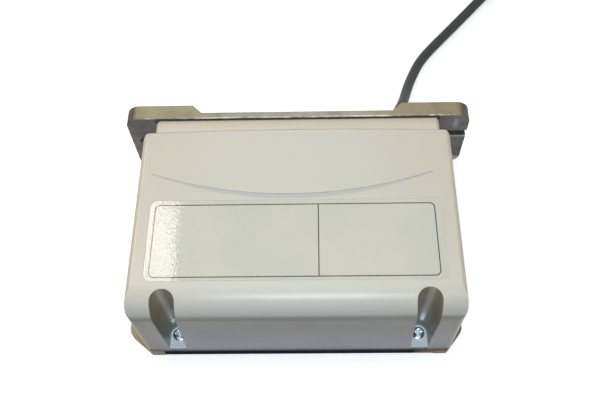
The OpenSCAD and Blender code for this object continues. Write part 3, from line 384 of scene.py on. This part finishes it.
# painted shade with dust in the wells; painted warm light, reflection and light on their outer
# sides, low walls and ledge
WELL_SHADE_DUST, WELL_LOW_REFLECTION, LOW_Z = srgb(104, 101, 96), srgb(161, 163, 155), (60, 40)
WELL_OUTER_WARM_LIGHT, OUTER_FACING = srgb(124, 110, 90), (-0.2, -0.7)     # times the sign of x
SHADE_DUST_Z, SHADE_DUST_SHARE = (10, 80), (0.95, 0.2)      # the share of the painted shade and dust at these two heights
LEDGE_LIGHT, LEDGE_FACING = srgb(231, 242, 252), (0.8, 0.95)


def inside_wells(n, at):
    """1 in the two screw wells, which lean and taper."""
    aside = n.math("SUBTRACT", n.size(at.x), SCREW_X)
    behind = n.math("MAXIMUM", n.math("SUBTRACT", at.y, n.ramp(at.z, *WELL_Z, *WELL_Y)), 0.0)
    away = n.length(n.add("CombineXYZ", {"X": aside, "Y": behind}))
    return n.math("LESS_THAN", away, n.math("ADD", n.ramp(at.z, *WELL_Z, *WELL_R), WELL_SKIN))


def well_light_and_shade(n, base, at):
    """Painted shade with dust darkens the wells, painted warm light browns their outer sides, a
    painted reflection pales them low down, and painted light pales the ledge.
    """
    in_well = inside_wells(n, at)
    outer = n.spread(n.times(at.side, n.math("SIGN", at.x)), *OUTER_FACING)
    dust = n.mix(n.spread(at.z, *LOW_Z), n.mix(outer, WELL_SHADE_DUST, WELL_OUTER_WARM_LIGHT), WELL_LOW_REFLECTION)
    base = n.mix(n.times(in_well, n.spread(at.z, *SHADE_DUST_Z, *SHADE_DUST_SHARE)), base, dust)
    ledge = n.times(in_well, n.math("LESS_THAN", at.z, LEDGE_Z + 0.1),
                    n.spread(at.up, *LEDGE_FACING))
    return n.mix(ledge, base, LEDGE_LIGHT)


# painted shade along the far edge
FAR_EDGE_SHADE, FAR_EDGE_SHADE_SHARE = srgb(138, 124, 100), 0.85
FAR_FACING, FAR_Z = (0.25, 0.7), (78, 82)


def far_edge_shade(n, base, at):
    """Painted shade along the top of the far edge."""
    line = n.times(n.spread(at.far, *FAR_FACING), n.spread(at.z, *FAR_Z), FAR_EDGE_SHADE_SHARE)
    return n.mix(line, base, FAR_EDGE_SHADE)


COVER_MARKS = (painted_light_and_tints, near_light_and_shade, groove_light_and_shade, well_light_and_shade, far_edge_shade)


# ---- marks on the mounting plate
PLATE_FRONT = (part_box("mounting_plate")[0].y - NEAR_Y) / MM
# a dark colour for painted shade
SHADE_DARK = srgb(44, 41, 34)
TOP_FACING = (0.6, 0.95)
MIDDLE_PALE, MIDDLE_X, MIDDLE_SHARE = srgb(167, 166, 154), (76, 40), 0.75
RIGHT_BROWN, RIGHT_X, RIGHT_SHARE = srgb(148, 126, 101), (60, 130), 0.6
# painted shade round the plate's corners
CORNER_SHADE, CORNER_SHARE = srgb(82, 68, 46), 0.9
CORNER_FACING, CORNER_Z = (0.1, 0.5), (50, 56)


def top_marks(n, base, at):
    """Its top is paler in the middle and browner to the right; round its corners lies a dark brown
    painted shade.
    """
    on_top = n.spread(at.up, *TOP_FACING)
    middle = n.times(on_top, n.spread(n.size(at.x), *MIDDLE_X), MIDDLE_SHARE)
    base = n.mix(middle, base, MIDDLE_PALE)
    base = n.mix(n.times(on_top, n.spread(at.x, *RIGHT_X, 0, RIGHT_SHARE)), base, RIGHT_BROWN)
    corner = n.times(n.spread(n.size(at.side), *CORNER_FACING), n.spread(at.z, *CORNER_Z),
                     CORNER_SHARE)
    return n.mix(corner, base, CORNER_SHADE)


# painted shade and painted light on the right ear, its slot and its foot
EAR_LOW_Z, EAR_LOW_X, EAR_LOW_SHARE = (38, 34), (104, 112), 0.3
EAR_LIGHT = srgb(172, 166, 168)
SLOT_Z, SLOT_FACING = (36, 45), (0.6, 0.9)      # the slot lies inside this height
SLOT_SHADE_Y = (PLATE_FRONT + 0.8, PLATE_FRONT + 2.0)
STREAK_X, STREAK_Z = (120.2, 123.2), (49, 59)   # it lies inside these
STREAK_FACING, STREAK_SHARE = (-0.6, -0.9), 0.8
FOOT_BOUNCE_LIGHT, FOOT_Z, FOOT_X = srgb(198, 186, 172), (9, 7), (112, 118)


def ear_light_and_shade(n, base, at):
    """The right ear: painted shade below its slot and deep in it, painted light on the slot's
    floor and in a bright streak, and a brown foot in painted light from below.
    """
    low = n.times(n.spread(at.z, *EAR_LOW_Z), n.spread(at.x, *EAR_LOW_X, 0, EAR_LOW_SHARE))
    base = n.mix(low, base, SHADE_DARK)
    slot = n.times(n.within(at.z, *SLOT_Z, 0.2), n.spread(at.up, *SLOT_FACING))
    base = n.mix(slot, base, EAR_LIGHT)
    base = n.mix(n.times(slot, n.spread(at.y, *SLOT_SHADE_Y)), base, SHADE_DARK)
    streak = n.times(n.spread(at.far, *STREAK_FACING), n.within(at.x, *STREAK_X, 0.7),
                     n.within(at.z, *STREAK_Z, 2), STREAK_SHARE)
    base = n.mix(streak, base, EAR_LIGHT)
    return n.mix(n.times(n.spread(at.z, *FOOT_Z), n.spread(at.x, *FOOT_X)), base, FOOT_BOUNCE_LIGHT)


# painted shade along the seam
SEAM_Y, SEAM_X = (PLATE_FRONT - 1, PLATE_FRONT + 0.3), (-108.5, 108.5)  # it lies inside these
SEAM_Z, SEAM_SHARE = (58, 60), 0.85


def seam_shade(n, base, at):
    """Painted shade along the cover."""
    seam = n.times(n.within(at.y, *SEAM_Y, 0.1), n.within(at.x, *SEAM_X, 0.3),
                   n.spread(at.z, *SEAM_Z), SEAM_SHARE)
    return n.mix(seam, base, SHADE_DARK)


# painted highlight with wear along the rim
RIM_HIGHLIGHT_WEAR, RIM_FACING, RIM_X = srgb(232, 230, 216), (0.5, 0.95), (124, 112)
RIM_LEFT_X, RIM_SHARE = (-125, -40), (0.45, 1.0)        # its share at these two
RIM_NOISE, RIM_BLOBS = (0.35, 0.62), (0.15, 1.0)


def rim_highlight_and_wear(n, base, at):
    """A painted highlight with wear: the edge between its front and its top is bright, in blobs,
    less so on the left.
    """
    chamfer = n.times(at.far, -2.0, at.up)      # 1 on a surface half way between the two
    worn = n.times(n.spread(chamfer, *RIM_FACING), n.spread(n.size(at.x), *RIM_X))
    blobs = n.noise(n.stretch(n.place(), (0.5, 1, 1)), 190, 4)
    share = n.times(worn, n.spread(blobs, *RIM_NOISE, *RIM_BLOBS),
                    n.spread(at.x, *RIM_LEFT_X, *RIM_SHARE))
    return n.mix(share, base, RIM_HIGHLIGHT_WEAR)


PLATE_MARKS = (top_marks, ear_light_and_shade, seam_shade, rim_highlight_and_wear)


# ---- marks on the base
# painted warm light on the left, painted shadow along the toe
LEFT_WARM_LIGHT, LEFT_X = srgb(152, 138, 112), (60, -60)
TOE_SHADOW = srgb(70, 72, 76)
TOE_LEFT_X, TOE_RIGHT_X = (-97.6, -96.8), (94, 82)
TOE_Y = 0.9


def toe(n, at):
    """1 along the flange's near edge, between its two corners."""
    along = n.times(n.spread(at.x, *TOE_LEFT_X), n.spread(at.x, *TOE_RIGHT_X))
    return n.times(along, n.math("LESS_THAN", at.y, TOE_Y))


def base_light_and_shade(n, base, at):
    """Painted warm light makes it paler brown on the left, and a painted shadow makes it black
    along the near edge.
    """
    base = n.mix(n.spread(at.x, *LEFT_X), base, LEFT_WARM_LIGHT)
    return n.mix(toe(n, at), base, TOE_SHADOW)


# ---- finishes; each takes two colours that it drifts between, and most a range of roughness
NOISE = (0.3, 0.7)                      # the values that most of a noise texture has
DRIFT = (0.35, 0.65)
SPECK, SPECK_SHARE, SPECK_DARK = (0.62, 0.8), 0.35, 0.72
SOFT_EDGE_Y = (56, 50)


def moulded(name, colour, other, rough=(0.36, 0.46), scale=1400, marks=(), soft_edge=0.0):
    """Moulded plastic: fine spark texture; soft_edge is its near edges' radius in millimetres."""
    made, n = material(name)
    where = n.place()
    fine = n.noise(where, scale, 5, 0.6)
    base = n.mix(n.spread(n.noise(where, 14, 3), *DRIFT), colour, other)
    dark = tuple(SPECK_DARK * c for c in colour)
    base = n.mix(n.spread(fine, *SPECK, 0, SPECK_SHARE), base, dark)
    if marks:
        base = marked(n, base, marks)
    rounded = None
    if soft_edge:
        radius = n.spread(Point(n).y, *SOFT_EDGE_Y, 0, soft_edge * MM)
        rounded = n.add("Bevel", {"Radius": radius}, samples=8)
    n.surface(n.add("BsdfPrincipled", {
        "Base Color": base, "Roughness": n.spread(n.noise(where, 60, 5), *NOISE, *rough),
        "Specular IOR Level": 0.5, "Normal": n.bump(fine, 0.35, 0.02 * MM, rounded)}))
    return made


CAST_METALLIC, CAST_SPECULAR, CAST_ROUGH = 0.3, 0.5, (0.45, 0.7)
CAST_TOP_FACING = (0.5, 0.9)
CAST_EDGE = 0.4 * MM
PATCH, PATCH_SHARE, PATCH_TINT = (0.4, 0.7), 0.4, (0.62, 0.6, 0.56)
GRAIN, GRAIN_SHARE, GRAIN_LIGHT = (0.52, 0.72), 0.5, (0.3, 0.3, 0.28)


def cast_metal(name, side, top, marks, dull=None):
    """Die casting: a grainy, patchy skin; the colours are those of its sides and of its top, whose
    warmer colour is a painted reflection.
    """
    made, n = material(name)
    where = n.place()
    grain = n.noise(where, 900, 8, 0.65)
    patch = n.noise(where, 70, 6, 0.6)
    pits = n.times(n.spread(n.cells(where, 700), 0.0, 0.35), 0.5)
    # painted reflection: faces that look up take the top colour
    base = n.mix(n.spread(Point(n).up, *CAST_TOP_FACING), side, top)
    base = marked(n, base, marks)
    base = n.mix(n.spread(patch, *PATCH, 0, PATCH_SHARE), base, n.tint(base, PATCH_TINT))
    light = n.mix(1.0, base, GRAIN_LIGHT, "ADD")
    base = n.mix(n.spread(grain, *GRAIN, 0, GRAIN_SHARE), base, light)
    metallic, specular = CAST_METALLIC, CAST_SPECULAR
    # where the painted shadow lies, its shine is taken away too
    if dull:
        shine = n.math("SUBTRACT", 1.0, dull(n, Point(n)))
        metallic, specular = n.times(shine, metallic), n.times(shine, specular)
    rounded = n.add("Bevel", {"Radius": CAST_EDGE}, samples=6)
    n.surface(n.add("BsdfPrincipled", {
        "Base Color": base, "Metallic": metallic, "Specular IOR Level": specular,
        "Roughness": n.spread(patch, *NOISE, *CAST_ROUGH),
        "Normal": n.bump(n.math("ADD", grain, pits), 0.5, 0.12 * MM, rounded)}))
    return made


def metal(name, colour, other, rough=(0.2, 0.38), brush=(1, 1, 1)):
    """Plated or machined metal: faint brushing, smudges in its shine."""
    made, n = material(name)
    streak = n.noise(n.stretch(n.place(), brush), 900, 5, 0.6)
    smudge = n.noise(n.place(), 180, 4)
    uneven = n.math("ADD", n.times(smudge, 0.6), n.times(streak, 0.4))
    n.surface(n.add("BsdfPrincipled", {
        "Base Color": n.mix(n.spread(smudge, 0.35, 0.7), colour, other), "Metallic": 1.0,
        "Roughness": n.spread(uneven, *NOISE, *rough), "Normal": n.bump(streak, 0.25, 0.02 * MM)}))
    return made


DUST, LINES, LINES_SHARE, LINES_DARK = (0.4, 0.75), (0.45, 0.7), 0.4, 0.6
RUBBER_ROUGH = (0.42, 0.6)
CLEAN_Y = (0.13, 0.18)                  # the frame's y in metres, over which the lead turns clean
CLEAN_TINT = (0.5, 0.5, 0.5)


def rubber(name, colour, other, along=None):
    """Rubber or a lead's jacket: dusty patches and fine lines, along the lead where it has one."""
    made, n = material(name)
    where = n.place()
    lines_at = n.stretch(n.add("UVMap", uv_map="along"), along) if along else where
    lines = n.noise(lines_at, 40, 4)
    dust = n.noise(where, 90, 6, 0.6)
    base = n.mix(n.spread(dust, *DUST), colour, other)
    dark = tuple(LINES_DARK * c for c in colour)
    base = n.mix(n.spread(lines, *LINES, 0, LINES_SHARE), base, dark)
    if along:
        clean = n.spread(n.parts(where)[1], *CLEAN_Y)
        base = n.mix(clean, base, n.tint(base, CLEAN_TINT))
    n.surface(n.add("BsdfPrincipled", {
        "Base Color": base, "Roughness": n.spread(dust, *NOISE, *RUBBER_ROUGH),
        "Specular IOR Level": 0.4, "Normal": n.bump(lines, 0.4, 0.06 * MM)}))
    return made


WEAVE_SCALE = 176.93                    # a thread every 1.78 mm


def woven(name, colour, other):
    """Hook and loop tape: a tight weave with fuzzy loops."""
    made, n = material(name)
    where = n.place()
    threads = {"Vector": where, "Scale": WEAVE_SCALE, "Distortion": 1.2, "Detail": 2.0}
    weave = n.times(n.add("TexWave", threads), n.add("TexWave", threads, bands_direction="Y"))
    fuzz = n.noise(where, 1800, 4)
    n.surface(n.add("BsdfPrincipled", {
        "Base Color": n.mix(weave, colour, other), "Roughness": 0.85,
        "Sheen Weight": 0.4, "Sheen Roughness": 0.5,
        "Normal": n.bump(n.math("ADD", weave, fuzz), 0.6, 0.2 * MM)}))
    return made


# ---- label film: a thin printed border with a divider, its panels bare; millimetres
BORDER_X, BORDER_Y = (-95.4, 93.7), (24, 77)
BORDER_R = 3.5
DIVIDER_X = 15.3
PRINT_W = 0.8
PRINT_SOFT = 0.22
PRINT_EDGE = (PRINT_W / 2 + PRINT_SOFT, PRINT_W / 2 - PRINT_SOFT)
FAR_OFF = 1000                          # past any print
WEAR, WEAR_SHARE = (0.3, 0.75), (1.0, 0.75)
FILM_ROUGH = (0.13, 0.2)
LIFT_X = (-84, -75)                     # from lifted to flat
LIFT_RAGGED = 26                        # how far the noise moves that change
LIFT_ANGLE = 8


def past_straight(n, value, low, high):
    """How far a point lies past the straight part of the border's side, towards either end."""
    aside = n.size(n.math("SUBTRACT", value, (low + high) / 2))
    return n.math("SUBTRACT", aside, (high - low) / 2 - BORDER_R)


def from_print(n, at):
    """The distance to the nearest printed line: the rounded border, or the divider inside it."""
    out_x, out_y = past_straight(n, at.x, *BORDER_X), past_straight(n, at.y, *BORDER_Y)
    corner = n.length(n.add("CombineXYZ", {"X": n.math("MAXIMUM", out_x, 0.0),
                                           "Y": n.math("MAXIMUM", out_y, 0.0)}))
    edge = n.math("ADD", corner, n.math("MINIMUM", n.math("MAXIMUM", out_x, out_y), 0.0))
    border = n.size(n.math("SUBTRACT", edge, BORDER_R))
    outside = n.times(n.math("GREATER_THAN", edge, BORDER_R), FAR_OFF)
    divider = n.math("ADD", n.size(n.math("SUBTRACT", at.x, DIVIDER_X)), outside)
    return n.math("MINIMUM", border, divider)


def film_normal(n, where, x):
    """Fine waves on broad ones, and a tilt at the left end, where the film lifts."""
    broad = n.bump(n.noise(where, 26, 2), 0.15, 0.3 * MM)
    wave = n.bump(n.noise(where, 620, 2), 0.8, 0.2 * MM, broad)
    shift = n.times(n.math("SUBTRACT", n.noise(where, 850, 3), 0.5), LIFT_RAGGED)
    slope = -math.tan(math.radians(LIFT_ANGLE))
    tilt = n.add("CombineXYZ", {"X": n.spread(n.math("ADD", x, shift), *LIFT_X, slope, 0.0)})
    bent = n.add("VectorMath", {0: wave, 1: tilt}, operation="ADD")
    return n.add("VectorMath", {0: bent}, operation="NORMALIZE")


def label_film(name, colour, other, ink):
    """Printed film: an uneven gloss, and a border that is worn here and there."""
    made, n = material(name)
    where, at = n.place(), Point(n)
    worn = n.spread(n.noise(where, 1500, 3), *WEAR, *WEAR_SHARE)
    printed = n.times(n.spread(from_print(n, at), *PRINT_EDGE), worn)
    base = n.mix(n.spread(n.noise(where, 20, 3), *DRIFT), colour, other)
    n.surface(n.add("BsdfPrincipled", {
        "Base Color": n.mix(printed, base, ink),
        "Roughness": n.spread(n.noise(where, 240, 5), *NOISE, *FILM_ROUGH),
        "Specular IOR Level": 0.5, "Normal": film_normal(n, where, at.x)}))
    return made


# ---- which finish each of the record's slots gets
def plastic_finishes():
    return {
        "cover_plastic": moulded("cover_plastic", srgb(209, 205, 193), srgb(205, 203, 194),
                                 rough=(0.285, 0.36), marks=COVER_MARKS, soft_edge=0.7),
        "rear_plastic": moulded("rear_plastic", srgb(213, 204, 186), srgb(210, 203, 187)),
        "label_film": label_film("label_film", srgb(206, 203, 191), srgb(201, 200, 189),
                                 srgb(38, 35, 30)),
        "case_plastic": moulded("case_plastic", srgb(52, 54, 57), srgb(60, 62, 64),
                                rough=(0.4, 0.55)),
        "white_nylon": moulded("white_nylon", srgb(226, 224, 214), srgb(218, 216, 208),
                               rough=(0.38, 0.5)),
        "board_green": moulded("board_green", srgb(24, 92, 50), srgb(34, 110, 62),
                               rough=(0.285, 0.4), scale=500),
        "can_sleeve": moulded("can_sleeve", srgb(28, 34, 78), srgb(34, 40, 90), rough=(0.2, 0.34)),
        "epoxy_black": moulded("epoxy_black", srgb(38, 38, 40), srgb(46, 46, 48),
                               rough=(0.5, 0.65)),
        "relay_blue": moulded("relay_blue", srgb(32, 80, 138), srgb(38, 90, 150),
                              rough=(0.3, 0.42)),
        "fuse_glass": moulded("fuse_glass", srgb(216, 220, 216), srgb(206, 210, 208),
                              rough=(0.08, 0.2)),
        "block_green": moulded("block_green", srgb(40, 118, 78), srgb(46, 128, 86),
                               rough=(0.4, 0.55)),
        "plug_black": moulded("plug_black", srgb(36, 36, 38), srgb(44, 44, 46), rough=(0.34, 0.5)),
        "boot_rubber": rubber("boot_rubber", srgb(42, 42, 44), srgb(54, 54, 56)),
        "lead_jacket": rubber("lead_jacket", srgb(71, 71, 71), srgb(83, 83, 83),
                              along=(40, 1.2, 1)),
        "tie_fabric": woven("tie_fabric", srgb(24, 24, 26), srgb(48, 48, 52)),
    }


def metal_finishes():
    return {
        "cast_base": cast_metal("cast_base", srgb(116, 92, 52), srgb(116, 90, 44), (base_light_and_shade,),
                                dull=toe),
        "cast_plate": cast_metal("cast_plate", srgb(124, 121, 121), srgb(153, 145, 117),
                                 PLATE_MARKS),
        "zinc_screw": metal("zinc_screw", srgb(206, 216, 224), srgb(160, 168, 176),
                            rough=(0.16, 0.26)),
        "plain_screw": metal("plain_screw", srgb(196, 196, 198), srgb(168, 166, 160)),
        "inner_screw": metal("inner_screw", srgb(206, 208, 212), srgb(182, 184, 188)),
        "bronze": metal("bronze", srgb(198, 160, 96), srgb(166, 128, 72), rough=(0.3, 0.5)),
        "spring_wire": metal("spring_wire", srgb(200, 202, 206), srgb(176, 178, 184)),
        "steel": metal("steel", srgb(186, 188, 190), srgb(158, 160, 164), rough=(0.285, 0.44),
                       brush=(1, 1, 0.08)),
        "dark_steel": metal("dark_steel", srgb(74, 74, 78), srgb(58, 58, 60), rough=(0.36, 0.52)),
        "magnet_metal": metal("magnet_metal", srgb(190, 192, 196), srgb(170, 172, 178),
                              rough=(0.1, 0.25)),
        "copper_winding": metal("copper_winding", srgb(178, 100, 52), srgb(140, 74, 38),
                                brush=(1, 1, 0.2)),
        "pin_metal": metal("pin_metal", srgb(206, 192, 140), srgb(184, 168, 118)),
    }


def dress(made, finish):
    """Give an object one finish."""
    made.data.materials.clear()
    made.data.materials.append(finish)


def dress_pieces(finishes):
    for part in frame["record"]["subparts"]:
        dress(frame["nodes"][part["node"]], finishes[part["material_slot"]])
    dress(lead_skin, finishes["lead_jacket"])


# ---- floor, world and lamps
FLOOR_SIZE = 6              # metres
FLOOR_DROP = 0.0004
FLOOR_SEEN = 0.82           # of the light on it, where the camera sees it
FLOOR_GLOW = 0.52           # added there, so that the lit floor is white
FLOOR_BOUNCE = 0.16         # of the light on it, for the light it returns to the object
FLOOR_CLEAR = (0.3, 0.9)    # metres from the middle, over which it turns white as the background
FLOOR_SHADE = (0.98, 1.0)
WORLD_LIGHT = 0.03
WORLD_ROUND = 1.3           # added low down, at the sides and the back
WORLD_BEHIND = (-0.3, 0.4)  # it grows over these parts of a ray's direction, towards the back
WORLD_HEIGHT = (0.7, 0.3)   # and these, from steep to level
WORLD_COLOUR = (0.9, 0.95, 1.0)
WHITE = (1, 1, 1)
KEY_FROM = (10, 50, 900)    # lamps: place and aim as at_near takes them, size in metres, watts
KEY_AIM = (0, 60, 60)
KEY_SIZE = (0.6, 0.6)
KEY_POWER = 2.93
KEY_COLOUR = (1.0, 0.985, 0.95)
WINDOW_FROM = (20, -360, 900)
WINDOW_AIM = (0, 0, 80)
WINDOW_SIZE = (0.25, 0.2)
WINDOW_POWER = 3.15
WINDOW_COLOUR = (0.82, 0.92, 1.0)
GLARE_FROM = (-590, 519, 946)
GLARE_AIM = (-95, 50, 85)
GLARE_SIZE = (0.2, 0.4)
GLARE_POWER = 2.9
GLARE_COLOUR = (1.0, 0.95, 0.8)


def seen_directly(n):
    """1 for camera, mirror and see-through rays, 0 for the light that reaches the object."""
    camera, mirror, through = [n.add("LightPath", out=name) for name in (
        "Is Camera Ray", "Is Glossy Ray", "Is Transmission Ray")]
    return n.math("MAXIMUM", n.math("MAXIMUM", camera, mirror), through)


def make_floor():
    mesh = bmesh.new()
    bmesh.ops.create_grid(mesh, x_segments=1, y_segments=1, size=FLOOR_SIZE / 2)
    bmesh.ops.translate(mesh, verts=mesh.verts, vec=(0, 0, -FLOOR_DROP))
    floor = mesh_object("floor", mesh)
    made, n = material("floor_white")
    seen = seen_directly(n)
    shade = n.spread(n.noise(n.place(), 3, 3), *NOISE, *FLOOR_SHADE)
    share = n.times(n.ramp(seen, 0, 1, FLOOR_BOUNCE, FLOOR_SEEN), shade)
    colour = n.add("CombineColor", {"Red": share, "Green": share, "Blue": share})
    glow = n.times(seen, n.spread(n.length(n.place()), *FLOOR_CLEAR, FLOOR_GLOW, 1.0))
    n.surface(n.add("AddShader", {0: n.add("BsdfDiffuse", {"Color": colour}),
                                  1: n.add("Emission", {"Strength": glow})}))
    dress(floor, made)


def make_world():
    world = bpy.data.worlds.new("studio")
    bpy.context.scene.world = world
    n = Nodes(world)
    seen = seen_directly(n)
    _, behind, height = n.parts(n.place("Generated"))
    low = n.times(n.spread(behind, *WORLD_BEHIND), n.spread(n.size(height), *WORLD_HEIGHT))
    light = n.math("ADD", n.times(low, WORLD_ROUND), WORLD_LIGHT)
    background = n.add("Background", {"Color": n.mix(seen, WORLD_COLOUR, WHITE),
                                      "Strength": n.ramp(seen, 0, 1, light, 1.0)})
    output = n.tree.nodes.new("ShaderNodeOutputWorld")
    n.tree.links.new(background, output.inputs["Surface"])


def area_lamp(name, start, aim, size, power, colour):
    data = bpy.data.lights.new(name, "AREA")
    data.shape = "RECTANGLE"
    data.size, data.size_y = size
    data.energy = power
    data.color = colour
    lamp = link(bpy.data.objects.new(name, data))
    lamp.location = at_near(*start)
    lamp.rotation_euler = (at_near(*aim) - lamp.location).to_track_quat("-Z", "Y").to_euler()
    return lamp


def make_lamps():
    key = area_lamp("key", KEY_FROM, KEY_AIM, KEY_SIZE, KEY_POWER, KEY_COLOUR)
    key.visible_glossy = False
    area_lamp("window", WINDOW_FROM, WINDOW_AIM, WINDOW_SIZE, WINDOW_POWER, WINDOW_COLOUR)
    area_lamp("glare", GLARE_FROM, GLARE_AIM, GLARE_SIZE, GLARE_POWER, GLARE_COLOUR)


dress_pieces({**plastic_finishes(), **metal_finishes()})
make_floor()
make_world()
make_lamps()
bpy.context.scene.view_settings.view_transform = "Standard"
